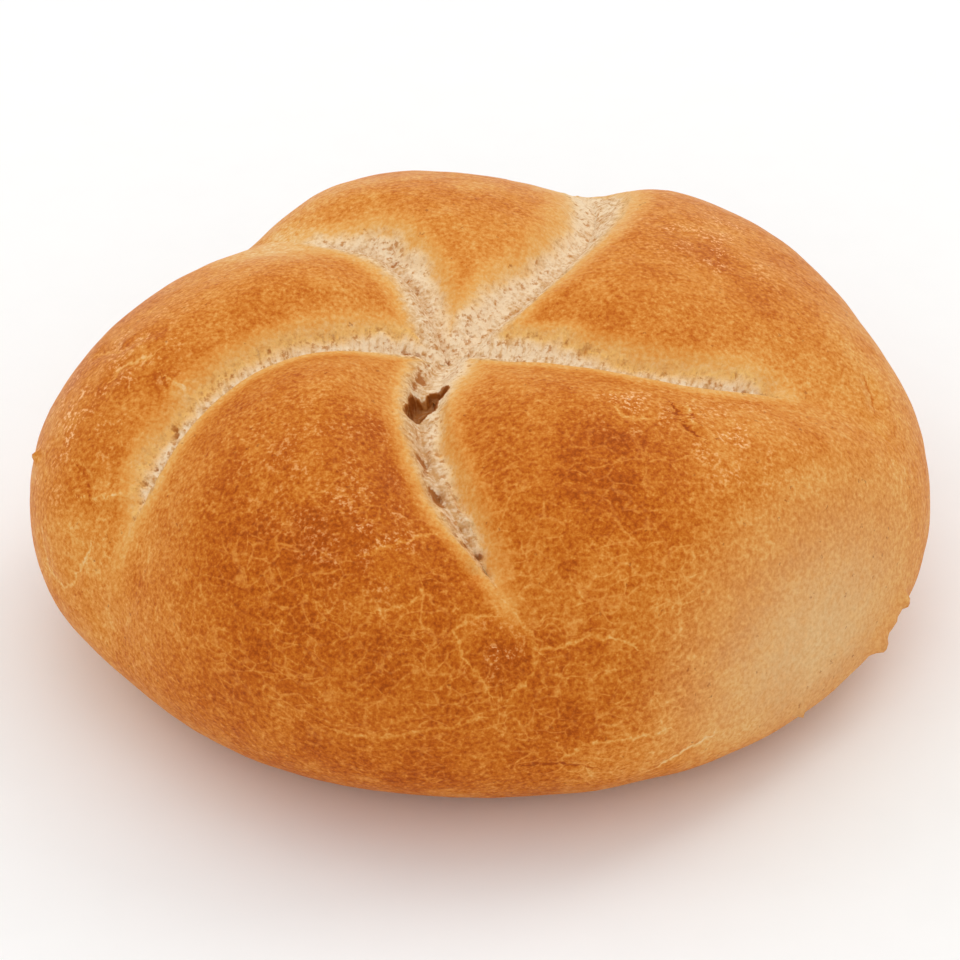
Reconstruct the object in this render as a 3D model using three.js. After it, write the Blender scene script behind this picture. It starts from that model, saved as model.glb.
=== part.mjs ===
// A bread roll with five pinwheel cuts, as one solid. Millimetres, +Z up.
// The origin is on the floor, under the middle of the roll.
//
// The surface is a plain loaf, a full dome over a rounder belly and a flat foot, that is
// moved in and out along its own normal. The lobes between the cuts swell, each cut is a
// groove along a wide valley, and the middle of the pinwheel is sunk. Last, one side is
// pressed flatter, where the roll touched the next one in the oven.
//
// A place on the loaf is given by two angles: the azimuth round Z from +X, and the polar
// angle, which is 0 at the crest, 90 degrees at the girth and 180 at the edge of the foot.

import * as THREE from 'three';

const DEGREE = Math.PI / 180;
const QUARTER = 90 * DEGREE;
const HALF = 180 * DEGREE;
const FULL = 360 * DEGREE;

// Plain loaf
const CREST_HEIGHT = 43.2;
const GIRTH_HEIGHT = 16.6;
const DOME_FULLNESS = 2.25; // 2 is an ellipse, more is squarer
const BELLY_FULLNESS = 2.1;
const FOOT_SHARE = 0.56; // radius of the flat foot over that of the girth
// Radii that pull the girth's outline, evenly spaced counter-clockwise from +X
const GIRTH_RADII = [
  50.8, 47.5, 50.5, 52.2, 51.2, 48.1, 45.4, 47.2,
  54.1, 53.6, 51.0, 50.6, 48.6, 49.4, 51.6, 53.0,
];

// Middle of the pinwheel, off the middle of the girth
const PINWHEEL_X = -4.8;
const PINWHEEL_Y = -2.3;
const SHIFT_CURVE = 1.5; // how fast the girth takes over from the pinwheel's middle
const SUNK_DEPTH = 3.6;
const SUNK_RADIUS = 15;

// The cuts run outwards from the pinwheel. At a share of the radius, from 0 in the middle
// to 1 at the girth, a cut's azimuth is heading + sweep * share + hook * share ** 2, in
// degrees. Each ends at its reach, after growing shallow over its run-out. One wall is a
// steep rounded lip, on its clockwise (-1) or counter-clockwise (+1) side, and the other is
// a slope. The valley is as wide on each side as valleyClockwise and valleyCounter say.
const VALLEY_WIDTH = 7;
const CUTS = [
  {
    name: 'right', heading: -21.5, sweep: -31.5, hook: 67.5, reach: 0.72, runOut: 0.22,
    depth: 3.4, lipSide: -1, lipWidth: 2.4, slopeWidth: 4.6,
    valleyDepth: 1.8, valleyClockwise: VALLEY_WIDTH, valleyCounter: VALLEY_WIDTH,
  },
  {
    name: 'back', heading: 42.5, sweep: 13, hook: 30.5, reach: 0.92, runOut: 0.62,
    depth: 3.2, lipSide: -1, lipWidth: 2.2, slopeWidth: 6,
    valleyDepth: 2.8, valleyClockwise: 3.5, valleyCounter: 19,
  },
  {
    name: 'far left', heading: 108, sweep: 3, hook: 67, reach: 0.64, runOut: 0.22,
    depth: 3, lipSide: 1, lipWidth: 2.4, slopeWidth: 4.5,
    valleyDepth: 2.1, valleyClockwise: VALLEY_WIDTH, valleyCounter: VALLEY_WIDTH,
  },
  {
    name: 'left', heading: 178, sweep: 35, hook: 2, reach: 0.97, runOut: 0.22,
    depth: 3.2, lipSide: 1, lipWidth: 2.2, slopeWidth: 4.2,
    valleyDepth: 2.75, valleyClockwise: VALLEY_WIDTH, valleyCounter: VALLEY_WIDTH,
  },
  {
    name: 'front', heading: 241.5, sweep: 41, hook: -2.5, reach: 0.88, runOut: 0.22,
    depth: 3.4, lipSide: -1, lipWidth: 2, slopeWidth: 3.6,
    valleyDepth: 2.4, valleyClockwise: VALLEY_WIDTH, valleyCounter: VALLEY_WIDTH,
  },
];
const TURN_SOFTNESS = 0.12;
const SLOPE_CURVE = 1.3; // 1 is a straight slope, more is hollow
const NARROW_END = 0.55; // width of a cut where it ends, over its full width
const MIDDLE_DEPTH = 0.6; // depth of the cuts in the middle, over their full depth
const FULL_DEPTH_SHARE = 0.28;
const GIRTH_VALLEY_FROM = 0.72; // share of the radius where a valley takes its girth width
const VALLEY_END = 0.45; // depth of a valley past its cut's reach, over its full depth
const GIRTH_VALLEY_WIDTH = 9;
const CUT_JOINING = 8; // higher joins crossing cuts more sharply
const VALLEY_JOINING = 4;

// How far each lobe swells. Each follows its cut of the same place, counter-clockwise.
// A lean over 1 puts the lobe's ridge nearer its far cut.
const LOBES = [
  { name: 'right back', rise: 1.6, lean: 1 },
  { name: 'back', rise: 1.7, lean: 1.4 },
  { name: 'left back', rise: 0.7, lean: 1 },
  { name: 'front left', rise: 1.8, lean: 1 },
  { name: 'front', rise: 1.6, lean: 1 },
];
const LOBE_CURVE = 0.9; // under 1 creases where two lobes meet, more is rounder
const GIRTH_LOBE_CURVE = 1.8;
const LOBE_SHARE_AT_GIRTH = 0.4;

// The side that was pressed flatter, as a plane that the surface is drawn back towards
const PRESSED_AZIMUTH = -42 * DEGREE;
const PRESSED_TILT = 10 * DEGREE;
const PRESSED_FACING = new THREE.Vector3(
  Math.cos(PRESSED_TILT) * Math.cos(PRESSED_AZIMUTH),
  Math.cos(PRESSED_TILT) * Math.sin(PRESSED_AZIMUTH),
  Math.sin(PRESSED_TILT),
);
const PRESSED_DISTANCE = 46;
const PRESSED_SOFTNESS = 3.2;
const PRESSED_SHARE = 0.6;

// Small relief: holes torn in the cuts are negative, and crags that stand out positive
const SMALL_RELIEF = [
  { name: 'torn hole in the front cut', azimuth: 250, polar: 9.5, radius: 1.9, height: -2.4 },
  { name: 'pocket in the front cut', azimuth: 262, polar: 34, radius: 1.3, height: -1 },
  { name: 'pit where the right cut ends', azimuth: 347.5, polar: 40, radius: 1.5, height: -1 },
  { name: 'crag beside the pressed side', azimuth: 339, polar: 103, radius: 2.4, height: 0.9 },
  { name: 'crag below the pressed side', azimuth: 331, polar: 103, radius: 2.6, height: 1.1 },
  { name: 'low crag in front', azimuth: 315.5, polar: 109, radius: 2.2, height: 0.8 },
  { name: 'crag on the left girth', azimuth: 187, polar: 76, radius: 2.4, height: 0.8 },
];

// Facets
const COLUMNS_PER_LOBE = 20;
const COLUMN_CROWDING = 0.75; // 0 spaces the columns evenly, more crowds them at the cuts
const DOME_RINGS = 40;
const BELLY_RINGS = 11;
const RING_CROWDING = 1.05;
const CREST_STEP = 1e-4;
const NORMAL_STEP = 1e-3;

const CRUST_COLOUR = 0xcf8a45;
const CRUST_ROUGHNESS = 0.62;

function mix(from, to, amount) {
  return from + (to - from) * amount;
}

function smooth(from, to, value) {
  const t = THREE.MathUtils.clamp((value - from) / (to - from), 0, 1);
  return t * t * (3 - 2 * t);
}

function bell(distance, width) {
  return Math.exp(-((distance / width) ** 2));
}

function join(depths, sharpness) {
  return depths.reduce((sum, depth) => sum + depth ** sharpness, 0) ** (1 / sharpness);
}

// A smooth closed curve of radii, pulled by four neighbouring entries at a time
function girthRadius(azimuth) {
  const count = GIRTH_RADII.length;
  const place = ((((azimuth / FULL) * count) % count) + count) % count;
  const first = Math.floor(place);
  const t = place - first;
  const weights = [
    (1 - t) ** 3,
    3 * t ** 3 - 6 * t ** 2 + 4,
    -3 * t ** 3 + 3 * t ** 2 + 3 * t + 1,
    t ** 3,
  ];
  return weights.reduce(
    (sum, weight, k) => sum + (weight * GIRTH_RADII[(first + k - 1 + count) % count]) / 6,
    0,
  );
}

// 0 in the middle of the pinwheel, 1 at the girth and below it
function shareOfRadius(polar) {
  return polar < QUARTER ? Math.abs(Math.sin(polar)) ** (2 / DOME_FULLNESS) : 1;
}

function loafPoint(azimuth, polar) {
  const radius = girthRadius(azimuth);
  const share = shareOfRadius(polar);
  const across = Math.abs(Math.sin(polar));
  const along = Math.abs(Math.cos(polar));
  let reach = radius * share;
  let height = GIRTH_HEIGHT + (CREST_HEIGHT - GIRTH_HEIGHT) * along ** (2 / DOME_FULLNESS);
  if (polar > QUARTER) {
    reach = radius * mix(FOOT_SHARE, 1, across ** (2 / BELLY_FULLNESS));
    height = GIRTH_HEIGHT * (1 - along ** (2 / BELLY_FULLNESS));
  }
  const shift = 1 - share ** SHIFT_CURVE;
  return new THREE.Vector3(
    PINWHEEL_X * shift + reach * Math.cos(azimuth),
    PINWHEEL_Y * shift + reach * Math.sin(azimuth),
    height,
  );
}

function loafNormal(azimuth, polar) {
  const around = loafPoint(azimuth + NORMAL_STEP, polar)
    .sub(loafPoint(azimuth - NORMAL_STEP, polar));
  const downwards = loafPoint(azimuth, polar + NORMAL_STEP)
    .sub(loafPoint(azimuth, polar - NORMAL_STEP));
  return downwards.cross(around).normalize();
}

// Share of the radius that a cut's azimuth has turned with: it stops turning at its reach
function turningShare(cut, share) {
  const past = share - cut.reach;
  return share - (past + Math.hypot(past, TURN_SOFTNESS)) / 2;
}

function cutAzimuth(cut, share) {
  const turned = turningShare(cut, share);
  return (cut.heading + cut.sweep * turned + cut.hook * turned ** 2) * DEGREE;
}

// Distance in mm from a cut's line, positive counter-clockwise of it
function offsetFromCut(cut, azimuth, share) {
  const turn = azimuth - cutAzimuth(cut, share) + HALF;
  const angle = turn - Math.floor(turn / FULL) * FULL - HALF;
  const past = share - cut.reach;
  const turning = (1 - past / Math.hypot(past, TURN_SOFTNESS)) / 2;
  const rate = (cut.sweep + 2 * cut.hook * turningShare(cut, share)) * DEGREE * turning;
  return (angle * share * girthRadius(azimuth)) / Math.hypot(1, share * rate);
}

function grooveDepth(cut, offset, share) {
  const open = 1 - smooth(cut.reach - cut.runOut, cut.reach, share);
  const onLip = Math.sign(offset) === cut.lipSide;
  const width = (onLip ? cut.lipWidth : cut.slopeWidth) * mix(NARROW_END, 1, open);
  const nearness = 1 - Math.min(Math.abs(offset) / width, 1);
  const wall = onLip ? 1 - Math.sqrt(1 - nearness ** 2) : nearness ** SLOPE_CURVE;
  const deepening = mix(MIDDLE_DEPTH, 1, smooth(0, FULL_DEPTH_SHARE, share));
  return cut.depth * open * deepening * wall;
}

function valleyDepth(cut, offset, share) {
  const sideWidth = offset > 0 ? cut.valleyCounter : cut.valleyClockwise;
  const width = mix(sideWidth, GIRTH_VALLEY_WIDTH, smooth(GIRTH_VALLEY_FROM, 1, share));
  const ending = mix(1, VALLEY_END, smooth(cut.reach - 0.1, cut.reach + 0.25, share));
  return cut.valleyDepth * bell(offset, width) * ending;
}

function lobeRise(lobe, across, share, polar) {
  const place = across ** lobe.lean;
  const curve = mix(LOBE_CURVE, GIRTH_LOBE_CURVE, smooth(GIRTH_VALLEY_FROM, 1, share));
  const ridge = (4 * place * (1 - place)) ** curve;
  const girthFade = mix(1, LOBE_SHARE_AT_GIRTH, smooth(55 * DEGREE, 95 * DEGREE, polar));
  return lobe.rise * ridge * smooth(0.04, 0.5, share) * girthFade;
}

function smallRelief(point) {
  return SMALL_RELIEF.reduce((sum, spot) => {
    const place = loafPoint(spot.azimuth * DEGREE, spot.polar * DEGREE);
    return sum + spot.height * bell(point.distanceTo(place), spot.radius);
  }, 0);
}

// Draws a point back towards the pressed plane, with a soft start
function press(point) {
  const past = point.dot(PRESSED_FACING) - PRESSED_DISTANCE;
  const softPast = (past + Math.hypot(past, PRESSED_SOFTNESS)) / 2;
  return point.addScaledVector(PRESSED_FACING, -softPast * PRESSED_SHARE);
}

// A point of the roll's own surface, at a place across one lobe, from 0 at its own cut to
// 1 at the next one
function rollPoint(azimuth, polar, lobe, across) {
  const share = shareOfRadius(polar);
  const offsets = CUTS.map((cut) => offsetFromCut(cut, azimuth, share));
  const grooves = CUTS.map((cut, k) => grooveDepth(cut, offsets[k], share));
  const valleys = CUTS.map((cut, k) => valleyDepth(cut, offsets[k], share));
  const aboveBelly = 1 - smooth(0.36 * HALF, 0.8 * HALF, polar);
  const onDome = polar < QUARTER ? 1 : 0;
  const sunk = SUNK_DEPTH * bell(share * girthRadius(azimuth), SUNK_RADIUS) * onDome;
  const rise = lobeRise(lobe, across, share, polar);

  const point = loafPoint(azimuth, polar);
  const outwards = (rise - join(valleys, VALLEY_JOINING)) * aboveBelly
    - join(grooves, CUT_JOINING)
    - sunk
    + smallRelief(point);
  const normal = loafNormal(azimuth, polar);
  return press(point.addScaledVector(normal, outwards));
}

// Polar angles of the rings, from just below the crest to the edge of the foot
function ringAngles() {
  const dome = Array.from(
    { length: DOME_RINGS },
    (_, k) => QUARTER * ((k + 1) / DOME_RINGS) ** RING_CROWDING,
  );
  const belly = Array.from(
    { length: BELLY_RINGS },
    (_, k) => QUARTER * (1 + (k + 1) / BELLY_RINGS),
  );
  return [...dome, ...belly];
}

// One ring of points. The columns follow the cuts and crowd towards them.
function ringPoints(polar) {
  const share = shareOfRadius(polar);
  return CUTS.flatMap((cut, k) => {
    const next = CUTS[(k + 1) % CUTS.length];
    const from = cutAzimuth(cut, share);
    const to = cutAzimuth(next, share) + (k + 1 === CUTS.length ? FULL : 0);
    return Array.from({ length: COLUMNS_PER_LOBE }, (_, column) => {
      const even = column / COLUMNS_PER_LOBE;
      const across = even - (COLUMN_CROWDING / FULL) * Math.sin(FULL * even);
      return rollPoint(mix(from, to, across), polar, LOBES[k], across);
    });
  });
}

function rollGeometry() {
  const rings = ringAngles().map(ringPoints);
  const columns = rings[0].length;
  const foot = rings[rings.length - 1];
  foot.forEach((point) => point.setZ(0));
  const crest = rollPoint(0, CREST_STEP, LOBES[0], 0);
  const footMiddle = foot
    .reduce((sum, point) => sum.add(point), new THREE.Vector3())
    .divideScalar(columns);
  const points = [crest, ...rings.flat(), footMiddle];

  const triangles = [];
  const corner = (ring, column) => 1 + ring * columns + (column % columns);
  const last = points.length - 1;
  for (let column = 0; column < columns; column += 1) {
    triangles.push(0, corner(0, column), corner(0, column + 1));
    for (let ring = 0; ring + 1 < rings.length; ring += 1) {
      const upper = [corner(ring, column), corner(ring, column + 1)];
      const lower = [corner(ring + 1, column), corner(ring + 1, column + 1)];
      triangles.push(upper[0], lower[0], lower[1], upper[0], lower[1], upper[1]);
    }
    triangles.push(last, corner(rings.length - 1, column + 1), corner(rings.length - 1, column));
  }

  const geometry = new THREE.BufferGeometry().setFromPoints(points);
  geometry.setIndex(triangles);
  geometry.computeVertexNormals();
  return geometry;
}

// Moves the geometry so that the middle of its box is over the origin
function centreOverOrigin(geometry) {
  geometry.computeBoundingBox();
  const middle = geometry.boundingBox.getCenter(new THREE.Vector3());
  geometry.translate(-middle.x, -middle.y, 0);
  return geometry;
}

function breadRoll() {
  const crust = new THREE.MeshStandardMaterial({
    color: CRUST_COLOUR,
    roughness: CRUST_ROUGHNESS,
    metalness: 0,
  });
  const roll = new THREE.Mesh(centreOverOrigin(rollGeometry()), crust);
  roll.name = 'bread_roll';
  return roll;
}

const group = new THREE.Group();
group.add(breadRoll());

export default group;
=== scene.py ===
"""The finish of a crusty bread roll with five pinwheel cuts.

The fine surface of the roll is worked out from the same named sizes as its solid, and then
gets what the solid leaves out: uneven crust, the torn crumb in the cuts, folds and specks.
Lengths are in millimetres up to the point where a mesh, a light or the camera is made.
"""

import bpy
import numpy as np
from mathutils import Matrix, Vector


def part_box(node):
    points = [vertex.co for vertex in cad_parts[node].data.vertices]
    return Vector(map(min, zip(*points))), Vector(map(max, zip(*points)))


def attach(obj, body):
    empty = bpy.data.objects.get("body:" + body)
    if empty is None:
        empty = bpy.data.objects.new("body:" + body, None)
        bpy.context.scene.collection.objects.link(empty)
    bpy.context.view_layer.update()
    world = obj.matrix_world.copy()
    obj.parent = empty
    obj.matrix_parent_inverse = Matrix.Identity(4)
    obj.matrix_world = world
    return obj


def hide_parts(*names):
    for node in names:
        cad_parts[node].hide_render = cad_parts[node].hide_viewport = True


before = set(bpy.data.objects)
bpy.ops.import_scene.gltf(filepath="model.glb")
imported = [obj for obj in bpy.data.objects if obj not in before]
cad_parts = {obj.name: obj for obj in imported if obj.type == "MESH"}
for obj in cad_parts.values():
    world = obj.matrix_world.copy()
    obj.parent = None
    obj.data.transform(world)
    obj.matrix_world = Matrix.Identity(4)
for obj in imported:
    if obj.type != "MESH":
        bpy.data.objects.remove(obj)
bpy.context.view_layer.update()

MM = 0.001
QUARTER = np.pi / 2

# ---------------------------------------------------------------- form of the plain loaf
CREST_HEIGHT = 43.2
GIRTH_HEIGHT = 16.6
DOME_FULLNESS = 2.25  # 2 is an ellipse, more is squarer
BELLY_FULLNESS = 2.1
FOOT_SHARE = 0.56  # radius of the flat foot over that of the girth
# Radii that pull the girth's outline, evenly spaced counter-clockwise from +X
GIRTH_RADII = (
    50.8, 47.5, 50.5, 52.2, 51.2, 48.1, 45.4, 47.2,
    54.1, 53.6, 51.0, 50.6, 48.6, 49.4, 51.6, 53.0,
)
PINWHEEL = (-4.8, -2.3)  # middle of the pinwheel, off the middle of the girth
SHIFT_CURVE = 1.5
SUNK_DEPTH = 3.6
SUNK_RADIUS = 15

# ---------------------------------------------------------------- the cuts and the lobes
# At a share of the radius, from 0 in the middle to 1 at the girth, a cut's azimuth is
# heading + sweep * share + hook * share ** 2. One wall is a steep rounded lip, on its
# clockwise (-1) or counter-clockwise (+1) side, and the other is a slope.
# The crumb shows from crumb_lip on the lip to crumb_slope on the slope, in the middle of the
# pinwheel from middle_lip to middle_slope, and its band closes between two shares of the
# radius. The crust beyond it is golden over rim_lip and rim_slope mm. Torn says how much of
# the deepest line is torn open, floor how deep in mm the crumb lets it be, and baked how
# golden the crumb is at the edge of its band.
USUAL = {"run_out": 0.22, "valley_clockwise": 7, "valley_counter": 7}
CUTS = (
    {
        **USUAL, "name": "right",
        "heading": -21.5, "sweep": -31.5, "hook": 67.5, "reach": 0.72, "depth": 3.4,
        "lip_side": -1, "lip_width": 2.4, "slope_width": 4.6, "valley_depth": 1.8,
        "crumb_lip": 1.5, "crumb_slope": 2.5, "rim_lip": 2.6, "rim_slope": 2.6,
        "middle_lip": 3.2, "middle_slope": 4.2, "closes": (0.58, 0.78),
        "torn": 0.5, "floor": 1.8, "baked": 1,
    },
    {
        "name": "back", "run_out": 0.62, "valley_clockwise": 3.5, "valley_counter": 19,
        "heading": 42.5, "sweep": 13, "hook": 30.5, "reach": 0.92, "depth": 3.2,
        "lip_side": -1, "lip_width": 2.2, "slope_width": 6, "valley_depth": 2.8,
        "crumb_lip": 3.2, "crumb_slope": 3.2, "rim_lip": 3.4, "rim_slope": 4.4,
        "middle_lip": 3.6, "middle_slope": 5, "closes": (0.74, 0.94),
        "torn": 0.3, "floor": 1.8, "baked": 0.5,
    },
    {
        **USUAL, "name": "far left",
        "heading": 108, "sweep": 3, "hook": 67, "reach": 0.64, "depth": 3,
        "lip_side": 1, "lip_width": 2.4, "slope_width": 4.5, "valley_depth": 2.1,
        "crumb_lip": 2.8, "crumb_slope": 2.8, "rim_lip": 2.8, "rim_slope": 3.6,
        "middle_lip": 3.5, "middle_slope": 2, "closes": (0.46, 0.76),
        "torn": 0.4, "floor": 1.7, "baked": 0.35,
    },
    {
        **USUAL, "name": "left",
        "heading": 178, "sweep": 35, "hook": 2, "reach": 0.97, "depth": 3.2,
        "lip_side": 1, "lip_width": 2.2, "slope_width": 4.2, "valley_depth": 2.75,
        "crumb_lip": 1.7, "crumb_slope": 2.5, "rim_lip": 2.8, "rim_slope": 2.7,
        "middle_lip": 3, "middle_slope": 4, "closes": (0.79, 0.99),
        "torn": 0.4, "floor": 1.7, "baked": 1,
    },
    {
        **USUAL, "name": "front",
        "heading": 241.5, "sweep": 41, "hook": -2.5, "reach": 0.88, "depth": 3.4,
        "lip_side": -1, "lip_width": 2, "slope_width": 3.6, "valley_depth": 2.4,
        "crumb_lip": 2.1, "crumb_slope": 2, "rim_lip": 2.6, "rim_slope": 3.2,
        "middle_lip": 2.4, "middle_slope": 5, "closes": (0.64, 0.9),
        "torn": 0.9, "floor": 1.2, "baked": 0.5,
    },
)
TURN_SOFTNESS = 0.12
SLOPE_CURVE = 1.3
NARROW_END = 0.55
MIDDLE_DEPTH = 0.6
FULL_DEPTH_SHARE = 0.28
GIRTH_VALLEY_FROM = 0.72
VALLEY_END = 0.45
GIRTH_VALLEY_WIDTH = 9
CUT_JOINING = 8
VALLEY_JOINING = 4
# Shares of the radius over which the widths in the middle turn into the others
LIP_SETTLES = (0.14, 0.27)
SLOPE_SETTLES = (0.1, 0.45)
CLOSED_WIDTH = -0.8  # mm on either side of a cut's line, where its band of crumb has closed
BAKED_WIDTH = 1.8  # mm from the edge of the crumb to where it isn't golden any more

# Each lobe follows its cut of the same place, counter-clockwise: (rise, lean)
LOBES = ((1.6, 1), (1.7, 1.4), (0.7, 1), (1.8, 1), (1.6, 1))
LOBE_CURVE = 0.9
GIRTH_LOBE_CURVE = 1.8
LOBE_SHARE_AT_GIRTH = 0.4

# The side that was pressed flatter, where the roll touched the next one in the oven
PRESSED_AZIMUTH = -42
PRESSED_TILT = 10
PRESSED_DISTANCE = 46
PRESSED_SOFTNESS = 3.2
PRESSED_SHARE = 0.6

# ---------------------------------------------------------------- fine surface
COLUMNS_PER_LOBE = 96
COLUMN_CROWDING = 0.62
DOME_RINGS = 152
BELLY_RINGS = 42
FOOT_RINGS = 7
RING_CROWDING = 1.05
NORMAL_STEP = 1e-3
NOISE_CELLS = 32
CRAZE_WARP = 0.8  # mm by which the cells of the crust are bent
EDGE_LIMIT = 6  # distances in mm to the edge of the crumb are kept up to this

# Layers of noise: the size of a lump in mm, an amount and a seed. The amount is in mm, or in
# shares of the scale of browning for the last one.
RAGGED_LIP = ((1.1, 0.16, 11), (3.1, 0.14, 12))
RAGGED_SLOPE = ((1.6, 0.5, 13), (4.3, 0.5, 14))
UNEVEN_CRUST = ((13, 0.26, 1), (5.5, 0.13, 2), (2.3, 0.05, 3))
COMBED_CRUMB = (((0.9, 2.6, 1), 0.06, 4),)  # along the cut, across it, and a third way unused
LUMPY_CRUMB = ((1.3, 0.15, 5), (0.7, 0.1, 8))
UNEVEN_TONE = ((6, 0.1, 21), (2.8, 0.1, 22))
PIT_DEPTH = 0.45  # mm, of the pits all over the crumb
SPOT_DEPTH = 0.6  # mm, of a torn spot with an amount of 1
RIM_BEAD_HEIGHT = 0.16  # mm by which the crust's edge at the lip stands up

# ---------------------------------------------------------------- camera
IMAGE_SIZE = 960
SENSOR_WIDTH = 36
CAMERA_ELEVATION = 36
CAMERA_DISTANCE = 620
PIXELS_PER_MM = 8.64
AIM_HEIGHT = 20  # the point at this height in the middle of the girth ...
AIM_PIXEL = (492.5, 459)  # ... shows here


def mix(low, high, amount):
    return low + (high - low) * amount


def smooth(low, high, value):
    t = np.clip((value - low) / (high - low), 0, 1)
    return t * t * (3 - 2 * t)


def bell(distance, width):
    return np.exp(-((distance / width) ** 2))


def join(depths, sharpness):
    return sum(depth**sharpness for depth in depths) ** (1 / sharpness)


def soft_minimum(value, limit):
    past = value - limit
    return value - (past + np.hypot(past, 0.3)) / 2


def lattice_noise(places, size, seed):
    """Smooth noise from about -1 to 1, with lumps of about that size."""
    table = np.random.default_rng(seed).uniform(-1, 1, (NOISE_CELLS,) * 3)
    scaled = places / np.asarray(size, float)
    corner = np.floor(scaled).astype(int)
    within = scaled - corner
    within = within * within * (3 - 2 * within)
    total = np.zeros(places.shape[:-1])
    for step in np.ndindex(2, 2, 2):
        weight = np.prod(np.where(step, within, 1 - within), axis=-1)
        cell = (corner + step) % NOISE_CELLS
        total += weight * table[cell[..., 0], cell[..., 1], cell[..., 2]]
    return total


def layered_noise(places, layers):
    """Sum of layers of noise, each of a size in mm, an amount and a seed."""
    return sum(amount * lattice_noise(places, size, seed) for size, amount, seed in layers)


# ---------------------------------------------------------------- the loaf
def girth_radius(azimuth):
    """A smooth closed curve of radii, pulled by four neighbouring entries at a time."""
    radii = np.asarray(GIRTH_RADII)
    count = len(radii)
    place = (azimuth / (2 * np.pi) * count) % count
    first = np.floor(place).astype(int)
    t = place - first
    weights = (
        (1 - t) ** 3,
        3 * t**3 - 6 * t**2 + 4,
        -3 * t**3 + 3 * t**2 + 3 * t + 1,
        t**3,
    )
    return sum(w * radii[(first + k - 1) % count] for k, w in enumerate(weights)) / 6


def share_of_radius(polar):
    """0 in the middle of the pinwheel, 1 at the girth and below it."""
    return np.where(polar < QUARTER, np.abs(np.sin(polar)) ** (2 / DOME_FULLNESS), 1)


def loaf_point(azimuth, polar):
    radius = girth_radius(azimuth)
    share = share_of_radius(polar)
    across = np.abs(np.sin(polar))
    along = np.abs(np.cos(polar))
    dome = polar < QUARTER
    belly_reach = radius * mix(FOOT_SHARE, 1, across ** (2 / BELLY_FULLNESS))
    reach = np.where(dome, radius * share, belly_reach)
    dome_rise = (CREST_HEIGHT - GIRTH_HEIGHT) * along ** (2 / DOME_FULLNESS)
    belly_drop = GIRTH_HEIGHT * along ** (2 / BELLY_FULLNESS)
    height = GIRTH_HEIGHT + np.where(dome, dome_rise, -belly_drop)
    shift = 1 - share**SHIFT_CURVE
    x = PINWHEEL[0] * shift + reach * np.cos(azimuth)
    y = PINWHEEL[1] * shift + reach * np.sin(azimuth)
    return np.stack([x, y, height], -1)


def loaf_normal(azimuth, polar):
    step = NORMAL_STEP
    polar = np.clip(polar, step, np.pi - step)
    around = loaf_point(azimuth + step, polar) - loaf_point(azimuth - step, polar)
    downwards = loaf_point(azimuth, polar + step) - loaf_point(azimuth, polar - step)
    normal = np.cross(downwards, around)
    return normal / np.linalg.norm(normal, axis=-1, keepdims=True)


# ---------------------------------------------------------------- the cuts
def turning_share(cut, share):
    past = share - cut["reach"]
    return share - (past + np.hypot(past, TURN_SOFTNESS)) / 2


def cut_azimuth(cut, share):
    turned = turning_share(cut, share)
    return np.radians(cut["heading"] + cut["sweep"] * turned + cut["hook"] * turned**2)


def offset_from_cut(cut, azimuth, share):
    """Distance in mm from a cut's line, positive counter-clockwise of it."""
    angle = (azimuth - cut_azimuth(cut, share) + np.pi) % (2 * np.pi) - np.pi
    past = share - cut["reach"]
    turning = (1 - past / np.hypot(past, TURN_SOFTNESS)) / 2
    rate = np.radians(cut["sweep"] + 2 * cut["hook"] * turning_share(cut, share)) * turning
    return angle * share * girth_radius(azimuth) / np.hypot(1, share * rate)


def groove_depth(cut, offset, share):
    is_open = 1 - smooth(cut["reach"] - cut["run_out"], cut["reach"], share)
    on_lip = np.sign(offset) == cut["lip_side"]
    width = np.where(on_lip, cut["lip_width"], cut["slope_width"])
    width = width * mix(NARROW_END, 1, is_open)
    nearness = 1 - np.minimum(np.abs(offset) / width, 1)
    wall = np.where(on_lip, 1 - np.sqrt(1 - nearness**2), nearness**SLOPE_CURVE)
    deepening = mix(MIDDLE_DEPTH, 1, smooth(0, FULL_DEPTH_SHARE, share))
    return cut["depth"] * is_open * deepening * wall


def valley_depth(cut, offset, share):
    side_width = np.where(offset > 0, cut["valley_counter"], cut["valley_clockwise"])
    width = mix(side_width, GIRTH_VALLEY_WIDTH, smooth(GIRTH_VALLEY_FROM, 1, share))
    ending = mix(1, VALLEY_END, smooth(cut["reach"] - 0.1, cut["reach"] + 0.25, share))
    return cut["valley_depth"] * bell(offset, width) * ending


def lobe_rise(lobe, across, share, polar):
    rise, lean = np.moveaxis(np.asarray(LOBES, float)[lobe], -1, 0)
    place = across**lean
    curve = mix(LOBE_CURVE, GIRTH_LOBE_CURVE, smooth(GIRTH_VALLEY_FROM, 1, share))
    ridge = (4 * place * (1 - place)) ** curve
    fade = mix(1, LOBE_SHARE_AT_GIRTH, smooth(np.radians(55), np.radians(95), polar))
    return rise * ridge * smooth(0.04, 0.5, share) * fade


def press(points):
    """Draws points back towards the pressed plane, with a soft start."""
    azimuth = np.radians(PRESSED_AZIMUTH)
    tilt = np.radians(PRESSED_TILT)
    level = np.cos(tilt)
    facing = np.array([level * np.cos(azimuth), level * np.sin(azimuth), np.sin(tilt)])
    past = points @ facing - PRESSED_DISTANCE
    soft_past = (past + np.hypot(past, PRESSED_SOFTNESS)) / 2
    return points - (soft_past * PRESSED_SHARE)[..., None] * facing


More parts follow.
